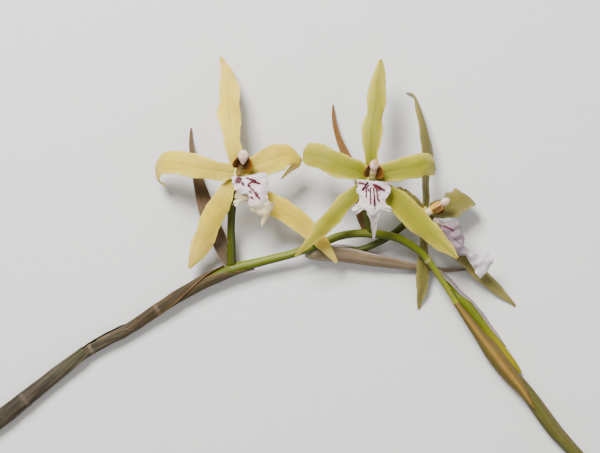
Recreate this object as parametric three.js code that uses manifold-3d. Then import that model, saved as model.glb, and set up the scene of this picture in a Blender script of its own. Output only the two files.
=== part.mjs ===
// A cut, arching spray of a star-flowered orchid, lying on its side.
// Millimetres, +Z up. X runs along the spray, Y across it, and the flowers look up.
import * as THREE from 'three';
import { mergeVertices } from 'three/addons/utils/BufferGeometryUtils.js';
import Module from 'manifold-3d';

// ---------------------------------------------------------------- driving dimensions
const TEPAL = 0.7; // thickness of a sepal or petal
const LIP = 0.7; // thickness of a lip
const PAPER = 0.6; // thickness of a bract or sheath
const KNOB = 1.6; // radius of the knob that carries a flower
const EAR = [1.5, 1, 2.5]; // radii of a column's wing: outwards, through it, along the column
const EAR_OUT = 1.9; // from the column's axis to the middle of a wing
const SHIFT = [5, 19.5, 0]; // moves the spray so that its box is centred on the origin

// Axis of the stalk, from the cut end to the tip: x, y, z, radius.
const STALK = [
  [-136.5, -88, 3, 1.5],
  [-122, -78, 3, 1.5],
  [-106, -65.5, 3.2, 1.5],
  [-87, -51, 3.4, 1.5],
  [-71, -42.5, 3.7, 1.5],
  [-57.5, -33.5, 4.2, 1.5],
  [-42.5, -24.5, 5, 1.5],
  [-27.5, -17.5, 6, 1.6],
  [-15.5, -14.2, 7, 1.65],
  [-3, -11, 8, 1.7],
  [9, -6.5, 9, 1.7],
  [18, -3.4, 10, 1.7],
  [29, -2.8, 10.8, 1.7],
  [39.5, -4.8, 10.8, 1.7],
  [46.5, -8.8, 10.8, 1.6],
  [51.5, -13.5, 10.5, 1.4],
  [58.5, -23.6, 9, 1.2],
  [63.5, -31.4, 7.4, 1.1],
  [73, -44.2, 5.6, 0.95],
  [82.4, -57.8, 4.2, 0.85],
  [92.4, -71, 3.2, 0.8],
  [103, -84, 2.3, 0.7],
  [108, -89.6, 2.2, 0.5],
];
const STALK_STEPS = 64;

const UP = [0, 0, 1];

// ---------------------------------------------------------------- colours
const finish = (color, roughness) => new THREE.MeshStandardMaterial({ color, roughness, metalness: 0 });
const FINISH = {
  stem: finish(0x74862c, 0.5),
  sheath: finish(0x9a8678, 0.75),
  bract: finish(0xb28a68, 0.75),
  paper: finish(0xd8c9b8, 0.75),
  tan: finish(0xcda569, 0.7),
  olive: finish(0x969060, 0.7),
  bud: finish(0x8ea02a, 0.45),
  tepal: finish(0xc9cc84, 0.45),
  lip: finish(0xefe6ea, 0.5),
  column: finish(0x9a5c22, 0.45),
  cap: finish(0xf4ecd0, 0.4),
};

// ---------------------------------------------------------------- shapes along a curve
const vector = (p) => new THREE.Vector3(p[0], p[1], p[2]);

function curveThrough(points) {
  return new THREE.CatmullRomCurve3(points.map(vector), false, 'catmullrom', 0.5);
}

// Value at u, from 0 to 1, of a smooth line through evenly spaced values.
function along(values, u) {
  const last = values.length - 1;
  if (last === 0) return values[0];
  const i = Math.min(Math.floor(u * last), last - 1);
  const f = u * last - i;
  const b = values[i];
  const c = values[i + 1];
  const a = i > 0 ? values[i - 1] : 2 * b - c;
  const d = i + 2 <= last ? values[i + 2] : 2 * c - b;
  return b + 0.5 * f * (c - a + f * (2 * a - 5 * b + 4 * c - d + f * (3 * (b - c) + d - a)));
}

// Frames at rows + 1 even places of a curve. The normal starts towards face and is carried along.
function framesAlong(curve, face, rows) {
  const finer = 6;
  const frames = [];
  let normal = vector(face);
  for (let i = 0; i <= rows * finer; i += 1) {
    const u = i / (rows * finer);
    const ahead = curve.getTangent(u);
    const side = ahead.clone().cross(normal).normalize();
    normal = side.clone().cross(ahead);
    if (i % finer === 0) frames.push({ point: curve.getPoint(u), ahead, side, normal });
  }
  return frames;
}

function closed(geometry) {
  geometry.deleteAttribute('normal');
  geometry.deleteAttribute('uv');
  return mergeVertices(geometry, 1e-4);
}

// A closed sheet: place(s, u, out) gives the point at s across, from -1 to 1, and u along,
// from 0 to 1, lifted by out along the sheet's own normal.
function sheet(place, thickness, rows, cols) {
  const plane = new THREE.PlaneGeometry(2, 1, cols, rows);
  const flat = plane.attributes.position;
  const count = flat.count;
  const points = [];
  for (const out of [thickness / 2, -thickness / 2]) {
    for (let i = 0; i < count; i += 1) {
      points.push(...place(flat.getX(i), flat.getY(i) + 0.5, out).toArray());
    }
  }
  const index = Array.from(plane.index.array);
  const faces = [...index];
  for (let i = 0; i < index.length; i += 3) {
    faces.push(index[i] + count, index[i + 2] + count, index[i + 1] + count);
  }
  const rim = [];
  const width = cols + 1;
  for (let i = 0; i < rows; i += 1) rim.push(i * width);
  for (let j = 0; j < cols; j += 1) rim.push(rows * width + j);
  for (let i = rows; i > 0; i -= 1) rim.push(i * width + cols);
  for (let j = cols; j > 0; j -= 1) rim.push(j);
  rim.forEach((a, i) => {
    const b = rim[(i + 1) % rim.length];
    faces.push(b, a, a + count, b, a + count, b + count);
  });
  const geometry = new THREE.BufferGeometry();
  geometry.setAttribute('position', new THREE.Float32BufferAttribute(points, 3));
  geometry.setIndex(faces);
  return geometry;
}

// A sepal, petal, lip or bract. Each station is x, y, z, width; curl bends the edges towards the
// normal (radians at the edge), twist rolls the blade (degrees), lean shifts it sideways and ruffle
// waves its edges (mm).
function blade(shape) {
  const { stations, face = UP, curl = [0], twist = [0], lean = [0], ruffle = [0], waves = 0 } = shape;
  const { thickness = TEPAL, rows = 12, cols = 4 } = shape;
  const frames = framesAlong(curveThrough(stations), face, rows);
  const widths = stations.map((station) => station[3]);
  const place = (s, u, out) => {
    const frame = frames[Math.round(u * rows)];
    const half = along(widths, u) / 2;
    const bend = along(curl, u) || 1e-6;
    const roll = THREE.MathUtils.degToRad(along(twist, u));
    const side = frame.side.clone().applyAxisAngle(frame.ahead, roll);
    const normal = frame.normal.clone().applyAxisAngle(frame.ahead, roll);
    const wave = along(ruffle, u) * s * s * Math.sin(2 * Math.PI * waves * u + (s > 0 ? 0 : 2));
    const angle = bend * (s + along(lean, u) / half);
    const across = (half / bend - out) * Math.sin(angle);
    const lift = (half * (1 - Math.cos(angle))) / bend + wave + out * Math.cos(angle);
    return frame.point.clone().addScaledVector(side, across).addScaledVector(normal, lift);
  };
  return sheet(place, thickness, rows, cols);
}

// A solid rod through stations of x, y, z, radius.
function rod(stations, steps, sides, face = UP) {
  const frames = framesAlong(curveThrough(stations), face, steps);
  const radii = stations.map((station) => station[3]);
  const geometry = new THREE.CylinderGeometry(1, 1, 1, sides, steps);
  const spots = geometry.attributes.position;
  for (let i = 0; i < spots.count; i += 1) {
    const u = spots.getY(i) + 0.5;
    const frame = frames[Math.round(u * steps)];
    const radius = along(radii, u);
    const spot = frame.point.clone()
      .addScaledVector(frame.side, spots.getX(i) * radius)
      .addScaledVector(frame.normal, spots.getZ(i) * radius);
    spots.setXYZ(i, spot.x, spot.y, spot.z);
  }
  return closed(geometry);
}

// A ball stretched to three radii, at a place.
function ball(radii, centre, across = 10, down = 6) {
  const geometry = new THREE.SphereGeometry(1, across, down);
  geometry.scale(radii[0], radii[1], radii[2]);
  geometry.translate(centre[0], centre[1], centre[2]);
  return closed(geometry);
}

// A sheath round the stalk from u = from to u = to. turn is where its middle lies (degrees, 0 on
// top, 90 on the side of +Y), spread its reach to either side of that, radius its middle wall.
function sheath({ from, to, turn, spread, radius, rows = 14, cols = 8 }) {
  const axis = curveThrough(STALK);
  const place = (s, u, out) => {
    const at = from + (to - from) * u;
    const ahead = axis.getTangent(at);
    const away = ahead.clone().cross(vector(UP)).normalize().negate();
    const normal = ahead.clone().cross(away).normalize();
    if (normal.z < 0) normal.negate();
    const angle = THREE.MathUtils.degToRad(along(turn, u) - along(spread, u) * s);
    const reach = along(radius, u) + out;
    const point = axis.getPoint(at)
      .addScaledVector(away, reach * Math.sin(angle))
      .addScaledVector(normal, reach * Math.cos(angle));
    point.z = Math.max(point.z, out > 0 ? 0 : PAPER); // lies flat where it meets the table
    return point;
  };
  return sheet(place, PAPER, rows, cols);
}

// ---------------------------------------------------------------- joining solids
const wasm = await Module();
wasm.setup();

function solid(geometry) {
  return new wasm.Manifold(new wasm.Mesh({
    numProp: 3,
    vertProperties: new Float32Array(geometry.attributes.position.array),
    triVerts: new Uint32Array(geometry.index.array),
  }));
}

function joined(geometries) {
  const whole = geometries.map(solid).reduce((sum, next) => sum.add(next));
  const mesh = whole.getMesh();
  const geometry = new THREE.BufferGeometry();
  geometry.setAttribute('position', new THREE.Float32BufferAttribute(mesh.vertProperties, 3));
  geometry.setIndex(Array.from(mesh.triVerts));
  return geometry;
}

// The column with an ear-shaped wing on either side of its front.
function column({ column: stations, across }) {
  const side = vector(across).normalize();
  const ears = [-1, 1].map((hand) => {
    const ear = new THREE.SphereGeometry(1, 10, 6);
    ear.scale(EAR[0], EAR[1], EAR[2]);
    const lie = vector(stations[3]).sub(vector(stations[1])).normalize();
    const out = side.clone().addScaledVector(lie, -side.dot(lie)).normalize();
    ear.applyMatrix4(new THREE.Matrix4().makeBasis(out, lie.clone().cross(out), lie));
    const place = vector(stations[2]).addScaledVector(out, hand * EAR_OUT);
    ear.translate(place.x, place.y, place.z);
    return closed(ear);
  });
  return joined([rod(stations, 6, 8, across), ...ears]);
}

// ---------------------------------------------------------------- flowers
// Everything in a flower is measured from its centre, where sepals, petals and lip come together.
const FLOWER_1 = {
  centre: [-24.5, 20.5, 22],
  dorsal_sepal: {
    stations: [
      [-0.2, 2.1, -1, 2.2], [-0.8, 5.5, -0.4, 4.6], [-1.5, 10, -0.3, 5.8], [-2.9, 18, -2, 8.3],
      [-3.8, 26, -5, 9.7], [-4, 34.5, -10, 8.6], [-5.2, 42, -15, 5.6], [-8, 49, -21.6, 1],
    ],
    curl: [0.5, -0.3, -0.3],
  },
  left_lateral_sepal: {
    stations: [
      [-1.4, -1.6, -1, 2.2], [-3.2, -4.4, -1.2, 5], [-6.4, -10, -1, 7.6], [-9.8, -16.5, -3, 8.6],
      [-12.6, -23, -6, 8.4], [-15.8, -30, -10, 6.4], [-20.4, -37.5, -14, 1],
    ],
    curl: [0.5, -0.3, -0.3],
  },
  right_lateral_sepal: {
    stations: [
      [1.4, -1.6, -1, 2.2], [3.6, -4.6, -1.4, 5], [9.4, -9.6, -2, 8], [17.3, -14, -5, 9],
      [24.5, -19, -6.4, 8.6], [31.7, -25.5, -8.4, 7], [36, -30.5, -9.8, 4.4], [39.4, -35.2, -11.4, 1],
    ],
    curl: [0.5, -0.3, -0.3],
  },
  left_petal: {
    stations: [
      [-2.1, 0.4, 0.2, 2.4], [-5, 1.6, 0.6, 7.4], [-10.3, 2.7, 1, 9.6], [-17, 3.4, 1, 8.8],
      [-24, 5, -1, 9.6], [-29.6, 5.4, -5, 8.8], [-32.4, 2.5, -10, 7], [-32, -1.6, -13, 4.4],
      [-29.4, -4.2, -14.4, 1],
    ],
    curl: [0.5, -0.2, -0.3],
  },
  right_petal: {
    stations: [
      [2.1, 0.6, 0.2, 2.4], [4.4, 2.7, 0.6, 7], [9.5, 4.5, 1, 9.4], [16, 6.4, 0, 10],
      [20.6, 7.6, -2.4, 10.4], [23, 7.2, -6.6, 9.8], [22, 4.4, -11, 7.6], [19.8, 1.9, -13, 4.6],
      [16.5, -1, -13.6, 1],
    ],
    curl: [0.5, -0.2, -0.3],
    twist: [0, 0, 0, 0, -20, -40, -20, 0, 0],
  },
  lip: {
    stations: [
      [1, -1.1, 1, 5], [1.4, -2.4, 2.4, 13.4], [2, -5.3, 3.8, 12.4], [2.7, -8.4, 4.4, 12.8],
      [3.6, -11.2, 4, 16.2], [4.8, -13.4, 3.2, 9], [7, -15.6, 2, 4.8], [8.7, -18, 0.4, 2.4],
      [9.2, -20.7, -2, 1],
    ],
    lean: [-0.4, -2.4, -3.2, -2.7, -2.9, -4, -2.4, -0.8, 0],
    curl: [0.6, -0.5, -0.7, -0.6],
    ruffle: [0, 0.3, 0.7, 0.3],
    waves: 2.5,
  },
  column: [[0.3, 0.8, 1.4, 1.1], [0.9, 2.4, 2.8, 1.4], [1.5, 4.4, 4.4, 1.7], [1.9, 5.9, 5.6, 1.4]],
  across: [1, -0.2, 0],
  cap: { centre: [2.1, 7.7, 6.7], radii: [2, 1.5, 1.4] },
  pedicel: [
    [-3, -36.5, -15.8, 1.7], [-3.2, -28, -14, 1.6], [-3.3, -21, -12, 1.6], [-2.8, -14, -9, 1.6],
    [-1.4, -7.5, -6.4, 1.6], [-0.3, -2.4, -4, 1.5], [0, -0.2, -1.6, 1.5], [0, 0, 0, KNOB],
  ],
  bract: {
    stations: [
      [-6.6, -34.6, -15.2, 3.2], [-8.4, -28, -13.6, 5.2], [-11, -20, -13, 5.4], [-14.3, -9.8, -14, 5.2],
      [-17, -0.8, -16, 4.2], [-19, 8.6, -18, 2.2], [-20, 14.7, -20, 1.6], [-20, 20, -21.6, 1],
    ],
    curl: [1, 0.9, 0.6, 0.3],
  },
};

const FLOWER_2 = {
  centre: [28, 18, 28],
  dorsal_sepal: {
    stations: [
      [0, 2.1, -1, 2.2], [0, 6.1, -0.4, 4.4], [0, 12, -0.2, 6], [0.7, 19.5, -1, 8.2],
      [1.5, 25.5, -2, 6.6], [2.2, 32, -4, 8], [2.9, 38, -6, 6.4], [3.8, 43.5, -8, 4.4],
      [4.3, 48.7, -10, 1],
    ],
    curl: [0.5, -0.3, -0.3],
  },
  left_lateral_sepal: {
    stations: [
      [-1.4, -1.6, -1, 2.2], [-5.4, -3.6, -2, 5], [-10.3, -8, -2.4, 6.6], [-15, -12.8, -3, 6.8],
      [-19.4, -17.5, -5, 6.6], [-24, -23.4, -8.5, 4.8], [-30, -30.2, -13, 1],
    ],
    curl: [0.5, -0.3, -0.3],
  },
  right_lateral_sepal: {
    stations: [
      [1.4, -1.6, -1, 2.2], [5.6, -4.4, -2, 5], [9.8, -9, -2.2, 7.4], [14.5, -13.5, -2.4, 7.8],
      [19.7, -18.2, -3, 7.8], [25, -22.5, -4, 7.4], [30, -27, -5, 5], [34.3, -30.5, -6, 1],
    ],
    curl: [0.5, -0.3, -0.3],
  },
  left_petal: {
    stations: [
      [-2.1, 0.6, 0.2, 2.4], [-5, 3.4, 0.6, 7.4], [-10.4, 5.3, 1, 9.8], [-17, 8, 1, 10],
      [-22.5, 10.1, -1, 10], [-26, 11, -5, 8.8], [-26.8, 9.2, -9, 4],
    ],
    curl: [0.5, -0.2, -0.3],
  },
  right_petal: {
    stations: [
      [2.1, 0.6, 0.2, 2.4], [5, 3.2, 0.6, 7], [10.4, 4.5, 1, 9.4], [16, 5.8, 1, 9.6],
      [20.6, 6.8, -1, 8.8], [23.4, 6.6, -5, 6.6], [25.4, 4, -9, 2],
    ],
    curl: [0.5, -0.2, -0.3],
  },
  lip: {
    stations: [
      [0, -1.2, 1.2, 5], [-0.1, -2.2, 2.4, 13.4], [0, -4.1, 3.2, 13], [0, -6.5, 3.6, 11],
      [0, -8.4, 3.4, 10.6], [0, -10.4, 2.6, 14.8], [0.2, -11.9, 1.8, 14.8], [0.6, -13.9, 0.4, 6],
      [1, -16.2, -1.2, 3.4], [1, -19.4, -3.6, 2.2], [1.3, -23.3, -6, 1],
    ],
    lean: [0, -0.7, -0.7, -0.6, -0.6, 0, 0, -0.4, 0, 0, 0],
    curl: [0.6, -0.4, -0.4, -0.3, -0.6],
    ruffle: [0, 0.3, 0.7, 0.3],
    waves: 2.5,
  },
  column: [[0, 0.5, 1.2, 1.2], [0.2, 1.8, 2.6, 1.4], [0.5, 3.6, 3.9, 1.7], [0.7, 5, 4.9, 1.4]],
  across: [1, 0, 0],
  cap: { centre: [0.8, 6.7, 5.9], radii: [1.9, 1.5, 1.4] },
  pedicel: [
    [1, -21, -17.2, 1.7], [-0.3, -17.4, -15, 1.3], [-1.6, -13, -12, 1.3], [-1.8, -8.3, -8.4, 1.3],
    [-0.8, -3.8, -5.4, 1.4], [-0.2, -1.4, -3.4, 1.5], [0, -0.2, -1.6, 1.5], [0, 0, 0, KNOB],
  ],
  bract: {
    stations: [
      [-3.6, -18, -17, 2.6], [-4.8, -12.6, -16.8, 3.6], [-6.3, -5.3, -17, 3.8],
      [-7.8, 1.6, -18.5, 3.8], [-9.4, 8.9, -20, 3.6], [-11.4, 14.8, -21.6, 3],
      [-13.2, 20.6, -23.4, 2.2], [-14.2, 26.2, -25.2, 1.6], [-14.5, 32, -27.6, 1],
    ],
    curl: [0.8, 0.6, 0.3],
  },
};

const FACING_3 = [0.8, 0.1, 0.6];
const FLOWER_3 = {
  centre: [50.5, 5.5, 16],
  dorsal_sepal: {
    stations: [
      [-0.6, 2.1, -0.8, 2.2], [-0.6, 6, -1.6, 4.6], [-0.6, 9.5, -2.2, 5.6], [-0.7, 15.5, -3, 6.8],
      [-0.2, 22.5, -4, 8], [-0.6, 29.5, -5.5, 7.8], [-1.6, 37.5, -8.4, 4.6], [-3.2, 44, -11.4, 2.6],
      [-7, 49, -15.4, 1],
    ],
    face: FACING_3,
    curl: [0.5, -0.3, -0.3],
  },
  left_lateral_sepal: {
    stations: [
      [-0.6, -2.1, -0.8, 2.2], [-1, -4.8, -3.8, 4.4], [-0.6, -9.3, -7.4, 5], [-0.4, -15, -8.9, 5.2],
      [-0.5, -21, -9.3, 5.4], [-0.9, -27.5, -10.6, 5], [-1.4, -33.4, -12.8, 3.6],
      [-2, -39.4, -15.5, 1],
    ],
    face: FACING_3,
    curl: [0.5, -0.3, -0.3],
    twist: [0, 25, 50, 45],
  },
  right_lateral_sepal: {
    stations: [
      [0.8, -2, -1.2, 2.2], [4.2, -5.6, -3.4, 5], [8.8, -10.6, -5.2, 7], [14.2, -16, -7.6, 7.4],
      [19.8, -21.2, -10, 7.2], [25.6, -26.8, -12, 6.2], [31.4, -32.2, -13.6, 4.2],
      [37.6, -38, -15.4, 1],
    ],
    face: [0.4, 0.2, 0.9],
    curl: [0.5, -0.3, -0.3],
  },
  left_petal: {
    stations: [
      [-1.6, 0.6, 1.2, 2.4], [-5.4, 3, 5.4, 7], [-10.2, 4.4, 7.4, 9], [-14, 6, 5, 9],
      [-16.4, 7, -1, 7], [-16.6, 7, -7, 1.6],
    ],
    face: FACING_3,
    curl: [0.5, -0.2, -0.3],
  },
  right_petal: {
    stations: [
      [1.4, 1.6, -1.2, 2.4], [5.6, 1.4, -2.4, 7.6], [9.6, 2.2, -4, 10], [13.6, 3.4, -6.6, 11.4],
      [16.6, 4, -10.4, 9.6], [16.4, 3, -14.2, 2.6],
    ],
    face: FACING_3,
    curl: [0.5, -0.2, -0.3],
    twist: [0, 0, 0, -20, -40, -40],
  },
  lip: {
    stations: [
      [3.1, -2.1, 0.6, 5], [5.9, -4.5, 1.4, 12], [9.1, -8.1, 1.6, 12.4], [11.5, -11.7, 1.2, 10.8],
      [13.5, -14.5, 0.6, 8.4], [16.3, -17.3, -0.4, 8], [19.1, -19.3, -1.6, 9.4],
      [21.1, -20.9, -2.6, 12.6], [22.7, -22.9, -3.8, 8], [22.4, -24.6, -4.8, 3.6],
      [21.9, -26.5, -6, 1],
    ],
    face: [0.5, 0.3, 0.8],
    lean: [0, 0, 0, 0, 0, 0, -1, -2.6, -1.6, 0, 0],
    curl: [0.6, -0.5, -0.6, -0.4, -0.4],
    ruffle: [0, 0.3, 0.7, 0.3],
    waves: 2.5,
  },
  column: [[0.9, 0.2, 1, 1.2], [2.6, 1.2, 1.8, 1.4], [4.6, 2.3, 2.7, 1.7], [6.1, 3.2, 3.4, 1.4]],
  across: [-0.4, 0.75, 0.5],
  cap: { centre: [7.9, 4.4, 4.1], radii: [1.6, 1.6, 1.5] },
  pedicel: [
    [-44, -13.4, -6.5, 1.4], [-38, -14.8, -9.6, 1.4], [-30, -15.2, -10.6, 1.4], [-25, -14.6, -10.7, 1.4],
    [-20, -12.6, -10.9, 1.4], [-14.8, -10, -10.6, 1.4], [-10, -6.2, -8.2, 1.4], [-6, -2.9, -5.2, 1.4],
    [-2.8, -1, -2.2, 1.5], [-1.1, -0.1, -0.8, 1.5], [0.1, 0, 0.1, KNOB],
  ],
};
const FLOWERS = { flower_1: FLOWER_1, flower_2: FLOWER_2, flower_3: FLOWER_3 };

const shifted = (stations, by) => stations.map(([x, y, z, r]) => [x + by[0], y + by[1], z + by[2], r]);

// ---------------------------------------------------------------- bracts and buds past the arch
const TOWARDS_STALK = [-0.78, -0.62, 0]; // from the outer side of the drooping end

// The big boat-shaped bract of flower 3 opens towards +Y and cups the flower's pedicel.
const FLOWER_3_BRACT = {
  stations: [
    [2, -12.6, 4.4, 5], [5, -13.4, 4.3, 8], [10.5, -13.9, 4.4, 11], [18.5, -14.4, 4.45, 13],
    [30.5, -16, 4.15, 13.2], [43, -17.1, 2.95, 8.4], [57, -18.2, 2, 5.6], [64, -18.2, 1.5, 4],
    [69.6, -17.4, 0.7, 1],
  ],
  face: [0, 1, 0],
  curl: [1.6, 1.8, 1.8, 1.8, 1.5],
  twist: [10, 30, 30, 10, 0, 0],
};
const BUDS = {
  bud_1: [
    [53.2, -15.6, 6.4, 0.6], [57.2, -19.8, 5.8, 0.7], [60.6, -23.6, 5.4, 0.8],
    [63.6, -27.2, 4.9, 1.1], [66.4, -30.6, 4.4, 1.6], [69.2, -33.8, 3.8, 1.9],
    [72, -37.6, 3.4, 1.9], [77, -43.9, 3.1, 1.8], [82.4, -50.4, 2.8, 1.6],
    [86.9, -55.8, 2.6, 1.3], [90, -59.7, 2.4, 0.5],
  ],
  bud_2: [
    [76.7, -48.7, 6.7, 0.5], [80.6, -53.4, 6.1, 0.9], [86.5, -60.5, 5.4, 1.1],
    [91, -66.3, 4.9, 1], [96, -72.4, 4.4, 1.1], [101.2, -78.8, 4.2, 1],
    [105.4, -84.4, 3.8, 0.8], [108.4, -88, 3.6, 0.4],
  ],
  bud_3: [
    [108.3, -89.9, 2.2, 0.5], [113, -95, 2.3, 1], [118, -100.4, 2, 0.9], [122.6, -105.6, 1.4, 0.4],
  ],
};
const BUD_BRACTS = {
  bud_1_bract: {
    material: FINISH.paper,
    stations: [
      [54.3, -14.2, 7, 3.4], [58.9, -18.3, 6.2, 5], [62.2, -21.9, 5.7, 5], [65.2, -25.7, 5.2, 5],
      [67.8, -28.4, 4.6, 5], [70.5, -31, 4.2, 5], [74, -35.4, 3.8, 4.8],
      [77.6, -40.8, 3.4, 4.4], [81, -44.9, 3.1, 3.4], [83.9, -49, 2.9, 1],
    ],
    face: TOWARDS_STALK,
    curl: [1.4, 1.2, 0.9, 0.6],
  },
  bud_2_bract: {
    material: FINISH.tan,
    stations: [
      [63.2, -31, 9, 5.6], [67.8, -37.2, 8.4, 6], [72.6, -43.8, 8.2, 7.2], [77.2, -50, 8, 9],
      [81.9, -56, 7.8, 9.6], [86, -61, 7.6, 9.4], [90, -66.4, 7.7, 8], [93.4, -72.4, 7.2, 4.2],
      [97.4, -80, 6.2, 1.2],
    ],
    curl: [-1.6, -1.6, -1.6, -1.5, -0.4],
  },
  bud_3_bract: {
    material: FINISH.olive,
    stations: [
      [88.6, -61.4, 2.6, 2.6], [93.4, -64.8, 3, 4.6], [97.6, -69.4, 3.2, 6],
      [101.6, -75, 3.2, 6], [104.8, -79.4, 3.1, 6], [109, -85.2, 3, 6], [113.7, -90.6, 2.7, 5.6],
      [118.7, -96.6, 2.2, 4.6], [124.3, -104.2, 1.4, 2.6], [127.6, -108.4, 0.8, 1],
    ],
    face: TOWARDS_STALK,
    curl: [1, 1.1, 1.1, 1.1, 0.9],
  },
};

// ---------------------------------------------------------------- sheaths on the lower stalk
const OVER = [2.1, 2.1, 2.1, 2.1, 3, 3, 3, 3, 3]; // close round the stalk, then over the next sheath
const SHEATHS = {
  sheath_1: { from: 0, to: 0.136, turn: [86.25], spread: [150, 150, 150, 140, 90, 15], radius: [3] },
  sheath_2: { from: 0.092, to: 0.205, turn: [250], spread: [160, 160, 130, 90, 15], radius: OVER },
  sheath_3: { from: 0.15, to: 0.311, turn: [70, 80, 90], spread: [160, 160, 150, 90, 15], radius: OVER },
  sheath_4: { from: 0.235, to: 0.354, turn: [250, 260, 265], spread: [150, 140, 70, 15], radius: [2.1] },
};

// ---------------------------------------------------------------- assembly
const spray = new THREE.Group();
spray.name = 'orchid_spray';
spray.position.fromArray(SHIFT);

function add(name, geometry, material, parent = spray) {
  const mesh = new THREE.Mesh(geometry, material);
  mesh.name = name;
  parent.add(mesh);
}

const stems = [rod(STALK, STALK_STEPS, 8)];
for (const flower of Object.values(FLOWERS)) {
  stems.push(rod(shifted(flower.pedicel, flower.centre), 12, 8));
}
add('flower_stalk', joined(stems), FINISH.stem);

for (const [name, shape] of Object.entries(SHEATHS)) add(name, sheath(shape), FINISH.sheath);

for (const [name, flower] of Object.entries(FLOWERS)) {
  const bloom = new THREE.Group();
  bloom.position.fromArray(flower.centre);
  spray.add(bloom);
  for (const part of Object.keys(flower)) {
    if (/sepal|petal/.test(part)) add(`${name}_${part}`, blade(flower[part]), FINISH.tepal, bloom);
  }
  add(`${name}_lip`, blade({ ...flower.lip, thickness: LIP, rows: 20, cols: 8 }), FINISH.lip, bloom);
  add(`${name}_column`, column(flower), FINISH.column, bloom);
  add(`${name}_anther_cap`, ball(flower.cap.radii, flower.cap.centre), FINISH.cap, bloom);
  if (flower.bract) {
    add(`${name}_bract`, blade({ ...flower.bract, thickness: PAPER }), FINISH.bract, bloom);
  }
}

add('flower_3_bract', blade({ ...FLOWER_3_BRACT, thickness: PAPER, cols: 8 }), FINISH.bract);
for (const [name, bud] of Object.entries(BUDS)) add(name, rod(bud, 14, 8), FINISH.bud);
for (const [name, shape] of Object.entries(BUD_BRACTS)) {
  add(name, blade({ ...shape, thickness: PAPER, cols: 6 }), shape.material);
}

export default spray;
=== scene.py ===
"""A cut, arching spray of a star-flowered orchid, lying on its side on a pale table.

Shapes are given in millimetres and written into the meshes in metres. X runs along the spray, Y across
it, and the flowers look up. A blade is any sepal, petal or bract: its stations are x, y, z, width."""

import math

import bpy
from mathutils import Matrix, Vector, noise


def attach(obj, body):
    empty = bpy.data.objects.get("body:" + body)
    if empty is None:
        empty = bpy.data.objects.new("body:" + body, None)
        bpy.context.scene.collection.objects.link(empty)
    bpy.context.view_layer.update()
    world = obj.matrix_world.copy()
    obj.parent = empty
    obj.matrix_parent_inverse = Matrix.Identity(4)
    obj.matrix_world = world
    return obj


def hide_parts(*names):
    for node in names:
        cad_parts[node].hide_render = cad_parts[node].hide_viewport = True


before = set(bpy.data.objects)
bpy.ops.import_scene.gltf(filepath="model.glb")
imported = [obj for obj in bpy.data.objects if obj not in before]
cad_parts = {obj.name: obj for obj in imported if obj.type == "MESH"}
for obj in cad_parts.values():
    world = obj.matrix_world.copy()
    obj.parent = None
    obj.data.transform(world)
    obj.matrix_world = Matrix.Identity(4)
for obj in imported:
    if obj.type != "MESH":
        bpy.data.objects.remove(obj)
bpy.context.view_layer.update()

MM = 0.001
SHIFT = Vector((5, 19.5, 0))  # moves the spray so that its box is centred on the origin
UP = (0, 0, 1)

TEPAL = 0.55  # thickness of a sepal or petal at its midrib
LIP = 0.5
EAR = 0.45  # thickness of a wing beside the column
PAPER = 0.45  # thickness of a bract or sheath
THIN = 0.35  # how much of a thickness is left at a margin
GROOVE = 0.22  # depth of the groove along a midrib
FLUTTER = 0.7  # how far a petal's margins wander
EYE = 0.682  # height of the camera, in metres

# Axis of the stalk, from the cut end to the tip: x, y, z, radius.
STALK = [
    (-136.5, -88, 3, 1.5), (-122, -78, 3, 1.5), (-106, -65.5, 3.2, 1.5), (-87, -51, 3.4, 1.5),
    (-71, -42.1, 3.7, 1.5), (-57.5, -33.5, 4.2, 1.5), (-42.5, -24.5, 5, 1.8), (-27.5, -17.5, 6, 2.2),
    (-15.5, -14.2, 7, 1.9), (-3, -11, 8, 1.7), (9, -6.5, 9, 1.7), (18, -3.4, 10, 1.7),
    (29, -2.8, 10.8, 1.7), (39.5, -4.8, 10.8, 1.7), (46.5, -8.8, 10.8, 1.6), (51.5, -13.5, 10.5, 1.4),
    (58.5, -23.6, 9, 1.2), (63.5, -31.4, 7.4, 1.1), (73, -44.2, 5.6, 0.95), (82.4, -57.8, 4.2, 0.85),
    (92.4, -71, 3.2, 0.8), (103, -84, 2.3, 0.7), (108, -89.6, 2.2, 0.5),
]
PALE_NODE = 0.682  # the node with a pale ring, as a part of the stalk's length
STALK_NODES = (0.318, 0.43, 0.545, PALE_NODE, 0.773)  # where the stalk swells

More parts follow.
